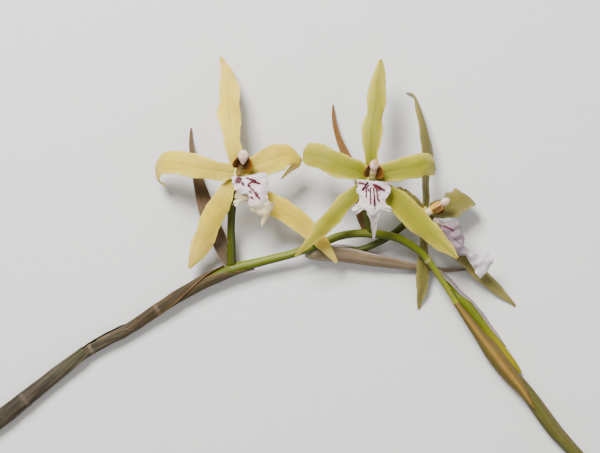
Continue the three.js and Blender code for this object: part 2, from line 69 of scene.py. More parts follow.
# ---- flowers, measured from their centres
# Curl is the angle from a blade's midrib to its margin in radians, twist is in degrees, and keel is how
# far the margins drop. A hem moves a lip's end: place across, width and how far.
FACING_3 = (0.8, 0.1, 0.6)
SEPAL_CURL = [0.5, -0.3, -0.3]
PETAL_CURL = [0.5, -0.2, -0.3]
TEPALS = ("dorsal_sepal", "left_lateral_sepal", "right_lateral_sepal", "left_petal", "right_petal")
FLOWER_1 = dict(
    centre=(-24.5, 20.5, 22),
    dorsal_sepal=dict(stations=[
        (-0.2, 2.1, -1, 2.2), (-0.8, 5.5, -0.4, 4.6), (-1.5, 10, -0.3, 5.8), (-2.9, 18, -2, 8.3),
        (-3.8, 26, -5, 9.7), (-4, 34.5, -10, 8.6), (-5.2, 42, -15, 5.6), (-8, 49, -21.6, 1),
    ]),
    left_lateral_sepal=dict(keel=[0, 0.6, 0.8, 0.4], stations=[
        (-1.4, -1.6, -1, 2.2), (-3.2, -4.4, -1.2, 5), (-6.4, -10, -1, 7.6), (-9.8, -16.5, -3, 8.8),
        (-12.9, -23, -6, 9), (-16.2, -30, -10, 7.8), (-20.4, -37.5, -14, 1.2),
    ]),
    right_lateral_sepal=dict(keel=[0, 0.4, 0.6, 0.3], stations=[
        (1.4, -1.6, -1, 2.2), (3.6, -4.6, -1.4, 5), (9.4, -9.6, -2, 8), (17.3, -14, -5, 9),
        (24.5, -19, -6.4, 8.2), (31.7, -25.5, -8.4, 5.8), (36, -30.5, -9.8, 3.6), (39.4, -35.2, -11.4, 1),
    ]),
    left_petal=dict(stations=[
        (-2.1, 0.4, 0.2, 2.4), (-5, 1.1, 0.6, 6.4), (-10.3, 1.8, 1, 8.2), (-17, 3.2, 1, 9.4),
        (-24, 4.8, -1, 9.6), (-30, 5.2, -5, 8.8), (-33, 2.3, -10, 7), (-32.8, -1.8, -13, 4.4),
        (-29.4, -4.4, -14.4, 1),
    ]),
    right_petal=dict(twist=[0, 0, 0, 0, -6, -10, -10, 0, 0], stations=[
        (2.1, 0.6, 0.2, 2.4), (4.4, 2.6, 0.6, 6.4), (9.5, 4.2, 1, 9.4), (15, 6.8, 0.2, 10.8),
        (19.2, 7.8, -1.2, 9.6), (23, 6.5, -3.4, 5.6), (24.9, 5.2, -6.4, 4.6), (21.4, 2.6, -9.8, 5.4),
        (16.8, -1.4, -12.2, 0.8),
    ]),
    lip=dict(crown=[0, 1.2, 1.8, 1.8, 1.6, 1.2, 0], left=[
        (0.2, -1.4, 1.2), (-2.5, -0.8, 1.5), (-2.3, -3, 1.8), (-1.4, -5.3, 2.2), (0.1, -7.3, 2.6),
        (2.2, -7.9, 2.8), (4.1, -8.2, 3), (4.3, -11.1, 2.6), (5, -13.6, 2), (7.1, -15.2, 1),
        (8.9, -16.6, 0), (9.4, -18.6, -1), (9.2, -20.7, -2),
    ], right=[
        (1.6, -1.8, 1.2), (4.8, -1.5, 1.8), (9.6, 1, 2.2), (11.6, 0, 2.4), (12.1, -2.6, 2.8), (12, -5, 3),
        (11.8, -7.4, 3.1), (12, -9.6, 3.1), (12.9, -11, 2.6), (14.5, -11.2, 1.6), (13.2, -14.2, 0.8),
        (11.4, -17.6, -0.4), (9.6, -20.7, -2),
    ]),
    side_lobe=dict(
        left=[(-0.6, -5.2, 1.6), (-1.2, -7.8, 1), (-1.4, -10.2, 0.4), (-2.6, -12.4, -0.4)],
        right=[(5.4, -6.8, 1.8), (5.2, -9, 1.2), (4.8, -9.8, 0.6), (4.2, -10.4, -0.4)],
        crown=[0.4, 0.6, 0.4],
        hem=[(0.45, 0.2, -1.1), (0.8, 0.12, 0.7)],
    ),
    column=[(0, 0.4, 1.2, 1.2), (0.8, 2.4, 2.8, 1.3), (1.8, 4.6, 4.4, 1.6), (2.1, 6, 5.6, 1.3)],
    across=(1, -0.04, 0),
    cap=dict(centre=(2.2, 6.6, 7), axis=(0.02, 0.93, 0.36), radius=2.25, length=3.1),
    pedicel=[
        (-3, -36.5, -15.8, 1.95), (-3.2, -28, -14, 1.75), (-3.3, -21, -12, 1.6), (-2.8, -14, -9, 1.6),
        (-1.4, -7.5, -6.4, 1.6), (-0.3, -2.4, -4, 1.5), (0, -0.2, -1.6, 1.5), (0, 0, 0, 1.6),
    ],
    bract=dict(curl=[1, 0.9, 0.6, 0.3], stations=[
        (-4.2, -35.8, -16, 3.4), (-5.8, -31.6, -14.8, 6.6), (-7.6, -27, -13.8, 7.6),
        (-10.8, -20.3, -13, 7.8), (-13.6, -11.8, -13.6, 7.2), (-16.1, -3.7, -15, 5.4),
        (-18.2, 4.3, -16.6, 3.6), (-19.5, 11.2, -18.6, 2.2), (-20, 15.6, -20, 1.3), (-20, 20, -21.4, 0.4),
    ]),
)
FLOWER_2 = dict(
    centre=(28, 18, 28),
    dorsal_sepal=dict(stations=[
        (0, 2.1, -1, 2.2), (0, 6.1, -0.4, 4.4), (0, 12, -0.2, 6), (0.7, 19.5, -1, 8.2),
        (1.5, 25.5, -2, 6.6), (2.2, 32, -4, 8), (2.9, 38, -6, 6.4), (3.8, 43.5, -8, 4.4),
        (4.3, 48.7, -10, 1),
    ]),
    left_lateral_sepal=dict(keel=[0, 0.7, 0.9, 0.5], stations=[
        (-1.4, -1.6, -1, 2.2), (-5.5, -4, -2, 5), (-10.4, -8.8, -2.4, 6.6), (-14.9, -13.6, -3, 6.8),
        (-18.8, -18, -5, 6.4), (-23.2, -23, -8, 4.8), (-30, -30.2, -13, 1),
    ]),
    right_lateral_sepal=dict(keel=[0, 0.7, 0.9, 0.5], stations=[
        (1.4, -1.6, -1, 2.2), (6, -4.2, -2, 6), (10.8, -8.4, -2.2, 9), (15.2, -12.6, -2.4, 9.4),
        (20.4, -17.8, -3, 9), (25.8, -22.6, -4, 7.2), (30.3, -26.5, -5, 4.8), (34.5, -30.5, -6, 1),
    ]),
    left_petal=dict(stations=[
        (-2.1, 0.6, 0.2, 2.4), (-5, 3.4, 0.6, 7.4), (-10.4, 5.3, 1, 9.8), (-17, 8, 1, 10),
        (-22.5, 10.1, -1, 10), (-26, 11, -5, 8.8), (-26.8, 9.2, -9, 4),
    ]),
    right_petal=dict(stations=[
        (2.1, 0.6, 0.2, 2.4), (5, 2.8, 0.6, 6.4), (10.4, 4.1, 1, 8.8), (16, 5.3, 1, 9.2),
        (20.8, 6.6, -1, 9.2), (24.2, 6.2, -4.5, 8.6), (26, 4, -9, 4.6),
    ]),
    lip=dict(crown=[0, 1.4, 1.6, 1.6, 1.5, 1.6, 1.8], left=[
        (-0.4, -1.9, 1.4), (-2.8, -1.7, 1.8), (-6, 0.3, 1.9), (-5.6, -1.9, 1.9), (-6, -4.1, 2),
        (-4.9, -6, 2.1), (-5, -8.6, 2.1), (-7.2, -10.2, 1.6), (-7.6, -11.6, 1.2), (-6.4, -13.3, 0.8),
    ], right=[
        (0.4, -1.9, 1.4), (2.8, -2.1, 1.8), (6.2, -0.8, 1.9), (7.4, -2.2, 1.9), (7.6, -4.1, 2),
        (6.2, -6, 2.1), (5.2, -8.8, 2.1), (7, -10, 1.6), (7.9, -11, 1.2), (7.2, -12.3, 0.8),
    ], hem=[(-0.5, 0.26, 1.4), (0.5, 0.26, 1.7), (0, 0.22, -1)]),
    lip_tail=dict(curl=[0.8, 0.8, 0.5], keel=[0.3], stations=[
        (0.5, -9.6, 2.6, 4.6), (0.7, -12, 1.8, 5.6), (1, -14.2, 0.6, 4.4), (1.1, -16.6, -1, 2.9),
        (1.1, -20, -3.6, 1.7), (1.2, -23.3, -6, 0.6),
    ]),
    column=[(0, 0.5, 1.2, 1.1), (0.2, 1.8, 2.6, 1.3), (0.5, 3.6, 3.9, 1.5), (0.7, 5, 4.9, 1.3)],
    across=(1, 0, 0),
    cap=dict(centre=(0.8, 5.3, 6.2), axis=(0.1, 0.9, 0.42), radius=1.95, length=2.9),
    pedicel=[
        (1, -21, -17.2, 1.7), (-0.3, -17.4, -15, 1.3), (-1.6, -13, -12, 1.3), (-1.8, -8.3, -8.4, 1.3),
        (-0.8, -3.8, -5.4, 1.4), (-0.2, -1.4, -3.4, 1.5), (0, -0.2, -1.6, 1.5), (0, 0, 0, 1.6),
    ],
    bract=dict(curl=[0.8, 0.6, 0.3], stations=[
        (-1, -20.8, -17.4, 2.4), (-2.8, -16.6, -16.9, 3.2), (-4, -12.4, -16.8, 3.6), (-3.6, -5.3, -17, 3.4),
        (-4.6, 1.6, -18.5, 3.4), (-8.4, 8.9, -20, 3.6), (-11.2, 14.8, -21.6, 3), (-13.2, 20.6, -23.4, 2.2),
        (-14.2, 26.2, -25.2, 1.6), (-14.5, 32, -27.6, 0.4),
    ]),
)
FLOWER_3 = dict(
    centre=(50.5, 5.5, 16),
    dorsal_sepal=dict(face=FACING_3, stations=[
        (-0.6, 2.1, -0.8, 2.2), (-0.4, 6, -1.6, 4.6), (-0.2, 9.5, -2.2, 5.6), (0, 15.5, -3, 7),
        (0.9, 22.5, -4, 8.8), (0.5, 29.5, -5.5, 8.6), (-0.8, 37.5, -8.4, 5), (-2.5, 44, -11.4, 2.8),
        (-4.3, 48.2, -14, 1.7), (-7.2, 49.3, -15.4, 0.8),
    ]),
    left_lateral_sepal=dict(face=FACING_3, twist=[0, 25, 50, 45], stations=[
        (-0.6, -2.1, -0.8, 2.2), (-1, -4.8, -3.8, 4.4), (-0.6, -9.3, -7.4, 5), (-0.4, -15, -8.9, 5.2),
        (-0.5, -21, -9.3, 5.4), (-0.9, -27.5, -10.6, 5), (-1.4, -33.4, -12.8, 3.6), (-2, -39.4, -15.5, 1),
    ]),
    right_lateral_sepal=dict(face=(0.4, 0.2, 0.9), keel=[0, 0.4, 0.6, 0.3], stations=[
        (0.8, -2, -1.2, 2.2), (4.2, -5.6, -3.4, 5), (8.8, -10.6, -4.6, 7), (14.2, -16, -6.4, 7.2),
        (20, -21, -8.6, 7), (25.8, -26.6, -11, 6.2), (31.4, -32.2, -13.6, 4.2), (37.6, -38, -15.4, 1),
    ]),
    left_petal=dict(face=FACING_3, stations=[
        (-1.6, 0.6, 1.2, 2.4), (-5.4, 3.4, 5.4, 7.4), (-10.2, 5, 7.4, 9.8), (-14, 6.6, 5, 9.8),
        (-16.4, 7.4, -1, 7.4), (-16.6, 7.2, -7, 1.6),
    ]),
    right_petal=dict(face=FACING_3, twist=[0, 0, 0, -20, -22, -24, -24], stations=[
        (1.4, 1.6, -1.2, 2.4), (5.6, 1.4, -2.4, 7.4), (9.4, 2.4, -3.8, 9.8), (12.8, 4.3, -5.2, 11),
        (15.4, 5.9, -6.4, 10.8), (17.2, 6.8, -8, 9.8), (16.6, 6.4, -10.8, 7),
    ]),
    lip=dict(crown=[0, 1.4, 1.8, 1.8, 1.2, 1.2, 0.2], rumple=0.9, left=[
        (2.6, -2.6, 0.2), (2.4, -4.4, -0.4), (3.6, -6.6, -0.8), (5.4, -8.8, -1), (7.2, -11.2, -1.2),
        (9.2, -13.6, -1.4), (11, -15.6, -1.6), (12.6, -17, -1.8), (15.4, -16.8, -1.4), (17.2, -19.2, -2.4),
        (18.8, -21.6, -3.2), (20.2, -23.8, -4), (21.2, -25.6, -5.2), (21.7, -26.4, -6),
    ], right=[
        (3.4, -1.8, 0.8), (7, -3.7, 1.6), (9.9, -3.4, 2), (12.2, -3.2, 2), (13.6, -5, 2), (14.3, -8, 1.8),
        (15.2, -11.2, 1.4), (14.5, -12.8, 0.6), (17.8, -15.9, 0), (22.2, -17, -1), (24.6, -16.2, -1.6),
        (26.8, -19.1, -2.8), (25.2, -23.2, -4.4), (22.2, -26.4, -6),
    ]),
    column=[(-0.4, -0.3, 0.8, 1.1), (1.6, 0.8, 1.6, 1.5), (3.8, 2, 2.5, 2.1), (5.8, 3.1, 3.2, 1.9)],
    across=(0.48, -0.14, -0.87),
    wing=0.85,
    cap=dict(centre=(6.5, 3.7, 3.6), axis=(0.72, 0.62, 0.25), radius=1.95, length=3),
    pedicel=[
        (-44, -13.4, -6.5, 1.4), (-38, -14.8, -9.6, 1.4), (-30, -15.2, -10.6, 1.4),
        (-25, -14.6, -10.7, 1.4), (-20, -12.6, -10.9, 1.4), (-14.8, -10, -10.6, 1.4),
        (-10, -6.2, -8.2, 1.4), (-6, -2.9, -5.2, 1.4), (-2.8, -1, -2.2, 1.5), (-1.1, -0.1, -0.8, 1.5),
        (0.1, 0, 0.1, 1.6),
    ],
)
FLOWERS = dict(flower_1=FLOWER_1, flower_2=FLOWER_2, flower_3=FLOWER_3)

# ---- bracts and buds past the arch
TOWARDS_STALK = (-0.78, -0.62, 0)  # from the outer side of the drooping end
FLOWER_3_BRACT = dict(
    face=(0, 1, 0),
    curl=[1.6, 1.9, 2.05, 2.05, 1.95, 1.8, 1.6, 1.5, 1.2],
    twist=[10, 10, 8, 6, 3, 0, 0, 0, 0],
    stations=[
        (2, -12, 4.6, 6), (5, -13, 4.7, 11.2), (10.5, -13.7, 4.9, 16.4), (18.5, -14.3, 4.9, 18),
        (30.5, -16, 4.3, 14.6), (43, -17.1, 2.95, 9.4), (57, -18.2, 2, 5.4), (64, -18.2, 1.5, 3.6),
        (69.6, -17.4, 0.7, 1),
    ],
)
BUDS = dict(
    bud_1=[
        (53.2, -15.6, 6.4, 0.6), (57.2, -19.8, 5.8, 0.7), (60.6, -23.6, 5.4, 0.8), (63, -26.6, 5, 1),
        (65.4, -29.6, 4.6, 2.1), (68.8, -33.6, 3.9, 2.45), (72, -37.6, 3.4, 2.4), (77, -43.9, 3.1, 2.2),
        (82.4, -50.4, 2.8, 1.9), (87, -56, 2.6, 1.5), (90.2, -60, 2.4, 0.5),
    ],
    bud_2=[
        (75.7, -49.4, 6.2, 0.5), (79.6, -54.2, 5.6, 0.9), (85.6, -61.3, 4.9, 1.2),
        (90.4, -67, 4.2, 1.6), (95.2, -73.2, 3.7, 2), (100.2, -79.8, 3.5, 2.1),
        (104.4, -85.2, 3.2, 1.9), (108, -89, 2.9, 1.4), (111.2, -92.2, 2.6, 0.5),
    ],
    bud_3=[
        (108.3, -89.9, 2.2, 0.8), (111, -93, 2.3, 1.6), (114.4, -96.6, 2.2, 1.6), (118.6, -101, 2, 1.3),
        (122.6, -105.6, 1.4, 0.5),
    ],
)
BUD_BRACTS = dict(
    bud_1_bract=dict(face=TOWARDS_STALK, curl=[1.4, 1.2, 0.9, 0.8], stations=[
        (53.3, -15.2, 7, 3.2), (57.9, -18.9, 6.2, 4.6), (61.6, -22.1, 5.7, 4.8), (65, -25.9, 5.2, 4.6),
        (68.2, -28.7, 4.2, 4), (71.2, -31.6, 3.6, 3.6), (74.6, -35.7, 3.2, 3.4), (78, -40.8, 2.9, 3.2),
        (81.3, -45.2, 2.8, 2.6), (84, -49, 2.8, 1),
    ]),
    bud_2_bract=dict(curl=[-1.5, -1.5, -1.5, -1.4, -0.6], keel=[0.2, 0.3, 0.3, 0], stations=[
        (63, -30.8, 8.9, 3.2), (67.6, -37, 8.6, 5.2), (72.6, -43.8, 8.2, 6.8), (77.4, -50, 8, 9.8),
        (81.9, -56, 7.8, 9.8), (86, -61, 7.6, 9), (89.4, -65.4, 7.7, 6.4), (92.4, -69.8, 7.3, 3.4),
        (95.2, -74, 6.6, 0.6),
    ]),
    bud_3_bract=dict(face=(0, 0, -1), curl=[1.85, 1.85, 1.85, 1.85, 1.2], stations=[
        (82.6, -56.4, 6.2, 6.6), (87.6, -61.6, 6.4, 8.6), (92.4, -67.6, 6.5, 10), (96.4, -73, 6.5, 10.8),
        (100.4, -78.6, 6.4, 11), (104.4, -83.8, 6.1, 10.6), (108.6, -88.4, 5.7, 9.8),
        (113.4, -93.4, 5.2, 8.8), (118.8, -99.4, 4.2, 7), (124, -104.8, 2.4, 4), (127.2, -108.2, 1.1, 0.8),
    ]),
)

# ---- sheaths on the lower stalk: ends in parts of its length, turn and spread in degrees
SHEATHS = dict(
    sheath_1=dict(
        ends=(0, 0.136), turn=[86], spread=[184, 184, 184, 180, 168, 120],
        radius=[3.2, 3.4, 3.3, 3, 2.7, 2.5], ring=0.55,
    ),
    sheath_2=dict(
        ends=(0.092, 0.205), turn=[250], spread=[182, 182, 180, 168, 130, 20],
        radius=[1.95, 1.95, 2.1, 2.3, 2.4, 2.45, 2.5], ring=0.44,
    ),
    sheath_3=dict(
        ends=(0.15, 0.311), turn=[70, 85, 100], spread=[182, 182, 166, 125, 72, 12],
        radius=[1.95, 1.95, 2.1, 2.35, 2.6, 2.75, 2.5], ring=0.475,
    ),
    sheath_4=dict(
        ends=(0.205, 0.35), turn=[250, 260, 265], spread=[176, 176, 172, 140, 74, 10],
        radius=[1.85, 2.05, 2.2, 2.4, 2.5, 2.45, 2.2], ring=0.05,
    ),
)


# ---- curves
def smooth(values, u):
    """Value at u, from 0 to 1, of a smooth line through evenly spaced values."""
    last = len(values) - 1
    if last == 0:
        return values[0]
    i = min(int(u * last), last - 1)
    f = u * last - i
    b, c = values[i], values[i + 1]
    a = values[i - 1] if i > 0 else 2 * b - c
    d = values[i + 2] if i + 2 <= last else 2 * c - b
    return b + 0.5 * f * (c - a + f * (2 * a - 5 * b + 4 * c - d + f * (3 * (b - c) + d - a)))


def spot(track, u):
    return Vector([smooth(values, u) for values in track[:3]])


def heading(track, u):
    little = 1e-4
    return (spot(track, min(u + little, 1)) - spot(track, max(u - little, 0))).normalized()


def frames_along(stations, face, rows):
    """(point, side, normal, ahead) at rows + 1 even places, the normal carried along from face."""
    finer = 2
    track = list(zip(*stations))
    normal = Vector(face)
    frames = []
    for i in range(rows * finer + 1):
        u = i / (rows * finer)
        ahead = heading(track, u)
        side = ahead.cross(normal).normalized()
        normal = side.cross(ahead)
        if i % finer == 0:
            frames.append((spot(track, u), side, normal, ahead))
    return frames


def bell(value, width):
    """1 at a value of 0, falling away on both sides over the width."""
    return math.exp(-((value / width) ** 2))


def rise(value, low, high):
    """0 up to low and 1 from high, with a smooth step between."""
    f = min(max((value - low) / (high - low), 0), 1)
    return f * f * (3 - 2 * f)


def ripple(x, y, seed):
    """Smooth random height between about -1 and 1."""
    return 2 * noise.noise(Vector((x, y, seed * 7.31)))


# ---- pieces
def mould(name, centre, place):
    """Moves each vertex of the new primitive to its place, in millimetres from the centre."""
    piece = bpy.context.object
    piece.name = piece.data.name = name
    origin = SHIFT + Vector(centre)
    for vertex in piece.data.vertices:
        vertex.co = (place(*vertex.co) + origin) * MM
    piece.data.materials.append(None)
    bpy.ops.object.shade_smooth()
    return piece


def grid_piece(name, cols, rows, place, centre=(0, 0, 0), body=None):
    """A grid of faces whose corner at s across, -1 to 1, in a row from 0 to rows, lies at place(s, row).
    With body(s, u), from 0 to 1, as its wall's fullness there."""
    bpy.ops.object.select_all(action="DESELECT")
    bpy.ops.mesh.primitive_grid_add(x_subdivisions=cols, y_subdivisions=rows, size=2)
    piece = bpy.context.object

    def row_at(y):
        return round((y + 1) / 2 * rows)

    if body:
        weights = piece.vertex_groups.new(name="body")
        for vertex in piece.data.vertices:
            weights.add([vertex.index], body(vertex.co.x, row_at(vertex.co.y) / rows), "REPLACE")
    return mould(name, centre, lambda x, y, z: place(x, row_at(y)))


def ball_piece(name, rings, place, centre):
    """A ball whose point at x, y, z lies at place(x, y, z)."""
    bpy.ops.object.select_all(action="DESELECT")
    bpy.ops.mesh.primitive_uv_sphere_add(segments=32, ring_count=rings, radius=1)
    return mould(name, centre, place)


def apply_modifiers(piece, rounded=True):
    if rounded:
        rounding = piece.modifiers.new("rounding", "SUBSURF")
        rounding.levels = rounding.render_levels = 1
    bpy.context.view_layer.objects.active = piece
    for modifier in list(piece.modifiers):
        bpy.ops.object.modifier_apply(modifier=modifier.name)
    return piece


def thicken(piece, thickness, rounded=True):
    """Gives a sheet its thickness, thinner at the margins, with the second material on its back."""
    wall = piece.modifiers.new("wall", "SOLIDIFY")
    wall.thickness = thickness * MM
    wall.offset = 0
    wall.vertex_group = "body"
    wall.thickness_vertex_group = THIN
    wall.material_offset = 1
    piece.data.materials.append(None)
    return apply_modifiers(piece, rounded)


def keep(piece, node, front, back=None):
    """Dresses a finished piece and puts it in the CAD node's place."""
    for i, finish in enumerate((front, back or front)[: len(piece.data.materials)]):
        piece.data.materials[i] = finish
    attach(piece, "root")
    if node:
        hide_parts(node)


def thin_margin(s, u):
    return max(0, 1 - abs(s) ** 4 - rise(u, 0.9, 1))


def blade(name, shape, centre, thickness=TEPAL, cols=20, rows=52, seed=0, flutter=FLUTTER, claw=0):
    """A sepal, petal or bract with its groove, keel and wandering margins. The claw widens its foot."""
    stations = shape["stations"]
    widths = [station[3] for station in stations]
    frames = frames_along(stations, shape.get("face", UP), rows)
    twists, bends, keels = (shape.get(key, [0]) for key in ("twist", "curl", "keel"))
    ribs = []
    for row, (point, side, normal, ahead) in enumerate(frames):
        u = row / rows
        roll = Matrix.Rotation(math.radians(smooth(twists, u)), 3, ahead)
        half = max(smooth(widths, u) / 2, 0.1) + claw * (1 - rise(u, 0, 0.22))
        bend = smooth(bends, u) or 1e-6
        keel = smooth(keels, u) * min(half / 3, 1)
        ribs.append((u, point, roll @ side, roll @ normal, half, bend, keel, math.sin(math.pi * u) ** 0.5))

    def place(s, row):
        u, point, side, normal, half, bend, keel, free = ribs[row]
        hand = 1 if s > 0 else -1
        margin = abs(s) ** 4 * free
        waver = 0.55 * ripple(u * 7, hand * 3.7, seed) + 0.22 * ripple(u * 24, hand, seed)
        across = half / bend * math.sin(bend * s) + hand * margin * waver * min(flutter / FLUTTER, 1)
        lift = half * (1 - math.cos(bend * s)) / bend
        lift += margin * flutter * ripple(u * 5, hand * 9.1, seed + 0.5)
        lift += 0.15 * ripple(s * 1.5, u * 7, seed + 0.2)
        lift -= keel * abs(s) + GROOVE * bell(s, 0.12) * (1 - u)
        return point + side * across + normal * lift

    return thicken(grid_piece(name, cols, rows, place, centre, thin_margin), thickness)


def lip(name, shape, centre, seed, cols=44, rows=64):
    """A lip between its two margins, crowned, frilled, and ridged where it meets the column."""
    left = list(zip(*shape["left"]))
    right = list(zip(*shape["right"]))
    rumple = shape.get("rumple", 0.45)
    ribs = [(spot(left, row / rows), spot(right, row / rows)) for row in range(rows + 1)]

    def place(s, row):
        u = row / rows
        start, end = ribs[row]
        point = end.lerp(start, (s + 1) / 2)
        hand = 1 if s > 0 else -1
        edge = abs(s) ** 8 * 0.35 * rise(u, 0.04, 0.15)
        margin = abs(s) ** 3 * min((end - start).length / 6, 1)
        ridges = 0.6 * (bell(s - 0.1, 0.06) + bell(s + 0.1, 0.06)) * bell(u - 0.12, 0.1)
        for across, width, drop in shape.get("hem", []):
            point.y += drop * bell(s - across, width) * rise(u, 0.75, 1)
        point.x += edge * ripple(u * 26, hand * 5.9, seed)
        point.y += edge * ripple(u * 26, hand * 7.7, seed + 0.4)
        point.z += smooth(shape["crown"], u) * (1 - s * s) + ridges
        point.z += margin * (1.1 * ripple(u * 15, hand * 2.3, seed) + 0.45 * ripple(u * 41, hand, seed))
        point.z += rumple * ripple(point.x * 0.4, point.y * 0.4, seed)
        return point

    return thicken(grid_piece(name, cols, rows, place, centre, thin_margin), LIP)


def tube(name, stations, centre=(0, 0, 0), rows=60, sides=24, relief=None, face=UP):
    """A closed tube, whose radius at an angle round it and at u along it has relief(angle, u) added."""
    frames = frames_along(stations, face, rows)
    radii = [station[3] for station in stations]

    def place(s, row):
        point, side, normal, _ = frames[row]
        u = row / rows
        angle = math.pi * s
        radius = smooth(radii, u) + (relief(angle, u) if relief else 0)
        return point + (side * math.sin(angle) + normal * math.cos(angle)) * radius

    piece = grid_piece(name, sides, rows, place, centre)
    bpy.ops.object.mode_set(mode="EDIT")
    bpy.ops.mesh.select_all(action="SELECT")
    bpy.ops.mesh.remove_doubles(threshold=1e-6)
    bpy.ops.mesh.fill_holes(sides=0)
    bpy.ops.object.mode_set(mode="OBJECT")
    return apply_modifiers(piece)


def sheath(name, shape, seed, cols=44, rows=80):
    """A papery sheath whose margins lap round the stalk, flat where it meets the table."""
    track = list(zip(*STALK))
    start, end = shape["ends"]
    ribs = []
    for row in range(rows + 1):
        u = row / rows
        at = start + (end - start) * u
        ahead = heading(track, at)
        away = -ahead.cross(Vector(UP)).normalized()
        normal = ahead.cross(away).normalized()
        reach = smooth(shape["radius"], u) + 0.14 * bell(u - shape["ring"], 0.012)
        turn, spread = smooth(shape["turn"], u), smooth(shape["spread"], u)
        ribs.append((u, spot(track, at), away, normal if normal.z > 0 else -normal, reach, turn, spread))

    def place(s, row):
        u, point, away, normal, reach, turn, spread = ribs[row]
        angle = math.radians(turn - spread * s)
        reach += 0.3 * s * rise(u, 0, 0.1) + 0.1 * ripple(s * 4, u * 9, seed) + 0.05 * math.sin(28 * s)
        point = point + away * (reach * math.sin(angle)) + normal * (reach * math.cos(angle))
        point.z = max(point.z, PAPER / 2)
        return point

    piece = grid_piece(name, cols, rows, place, body=lambda s, u: max(0, 1 - abs(s) ** 8))
    return thicken(piece, PAPER, rounded=False)


# ---- nodes
class Nodes:
    """A node tree and the nodes put into it. An input is a value, or the output socket that feeds it."""

    def __init__(self, tree):
        self.tree = tree

    def connect(self, sockets, inputs):
        for key, value in inputs.items():
            if isinstance(value, bpy.types.NodeSocket):
                self.tree.links.new(value, sockets[key])
            else:
                sockets[key].default_value = value

    def put(self, kind, inputs=None, **settings):
        """The outputs of a new shader node with its settings and inputs."""
        made = self.tree.nodes.new("ShaderNode" + kind)
        for key, value in settings.items():
            setattr(made, key, value)
        self.connect(made.inputs, inputs or {})
        return made.outputs

    def maths(self, operation, first, second=0.0, clamp=False):
        return self.put("Math", {0: first, 1: second}, operation=operation, use_clamp=clamp)[0]

    def times(self, first, second):
        return self.maths("MULTIPLY", first, second)

    def vectors(self, operation, first, second):
        return self.put("VectorMath", {0: first, 1: second}, operation=operation)

    def noise(self, at, scale, detail):
        return self.put("TexNoise", {"Vector": at, "Scale": scale, "Detail": detail})

    def blend(self, amount, first, second):
        """The first colour where amount is 0, and the second where it is 1."""
        return self.put("Mix", {0: amount, 6: first, 7: second}, data_type="RGBA")[2]

    def step(self, value, low, high, to_low=0.0, to_high=1.0):
        """A smooth step of the value, from to_low at low to to_high at high, which may be the smaller."""
        ends = {"From Min": low, "From Max": high, "To Min": to_low, "To Max": to_high}
        return self.put("MapRange", {"Value": value, **ends}, interpolation_type="SMOOTHSTEP")["Result"]

    def near(self, value, middle, width):
        """1 where the value is at the middle, and 0 from the width on."""
        off = self.maths("ABSOLUTE", self.maths("SUBTRACT", value, middle))
        return self.step(off, width, 0.0)


def new_group(name, inputs, outputs):
    """A node group with named inputs, each a number or a vector, and outputs, which are numbers."""
    nodes = Nodes(bpy.data.node_groups.new(name, "ShaderNodeTree"))
    sockets = nodes.tree.interface
    for label, value in inputs.items():
        kind = "NodeSocketVector" if isinstance(value, tuple) else "NodeSocketFloat"
        sockets.new_socket(label, in_out="INPUT", socket_type=kind).default_value = value
    for label in outputs:
        sockets.new_socket(label, in_out="OUTPUT", socket_type="NodeSocketFloat")
    given = nodes.tree.nodes.new("NodeGroupInput").outputs[: len(inputs)]
    return nodes, given, nodes.tree.nodes.new("NodeGroupOutput").inputs


def veins_group():
    """Lengthwise veins: Line is 1 on a vein, Streak a soft lengthwise grain from 0 to 1."""
    nodes, (across, along, count, waver, seed), out = new_group(
        "veins", {"Across": 0, "Along": 0, "Count": 12, "Waver": 0.03, "Seed": 0}, ["Line", "Streak"]
    )
    wander = nodes.noise(nodes.put("CombineXYZ", {0: across, 1: along, 2: seed})[0], 4.0, 1.0)[0]
    across = nodes.maths("ADD", across, nodes.times(nodes.maths("SUBTRACT", wander, 0.5), waver))
    phase = nodes.times(nodes.times(across, count), math.pi)
    wave = nodes.maths("ABSOLUTE", nodes.maths("SINE", phase))
    line = nodes.maths("POWER", nodes.maths("SUBTRACT", 1.0, wave), 3.0)
    finer = nodes.times(across, nodes.times(count, 2.0))
    at = nodes.put("CombineXYZ", {0: finer, 1: along, 2: seed})[0]
    grain = nodes.noise(nodes.vectors("MULTIPLY", at, (1.0, 3.0, 1.0))[0], 1.0, 3.0)[0]
    nodes.connect(out, {"Line": line, "Streak": nodes.step(grain, 0.3, 0.7)})
    return nodes.tree


def stroke_group():
    """A short painted stroke: Mark is 1 along the line from Start to End."""
    nodes, (position, start, end, width), out = new_group(
        "stroke", {"Position": (0, 0, 0), "Start": (0, 0, 0), "End": (1, 0, 0), "Width": 0.3}, ["Mark"]
    )
    reach = nodes.vectors("SUBTRACT", end, start)[0]
    away = nodes.vectors("SUBTRACT", position, start)[0]
    length = nodes.vectors("DOT_PRODUCT", reach, reach)["Value"]
    along = nodes.vectors("DOT_PRODUCT", away, reach)["Value"]
    part = nodes.maths("DIVIDE", along, length, clamp=True)
    nearest = nodes.put("VectorMath", {0: reach, "Scale": part}, operation="SCALE")[0]
    gap = nodes.vectors("SUBTRACT", away, nearest)[0]
    distance = nodes.put("VectorMath", {0: gap}, operation="LENGTH")["Value"]
    nodes.connect(out, {"Mark": nodes.step(distance, width, nodes.times(width, 0.45))})
    return nodes.tree


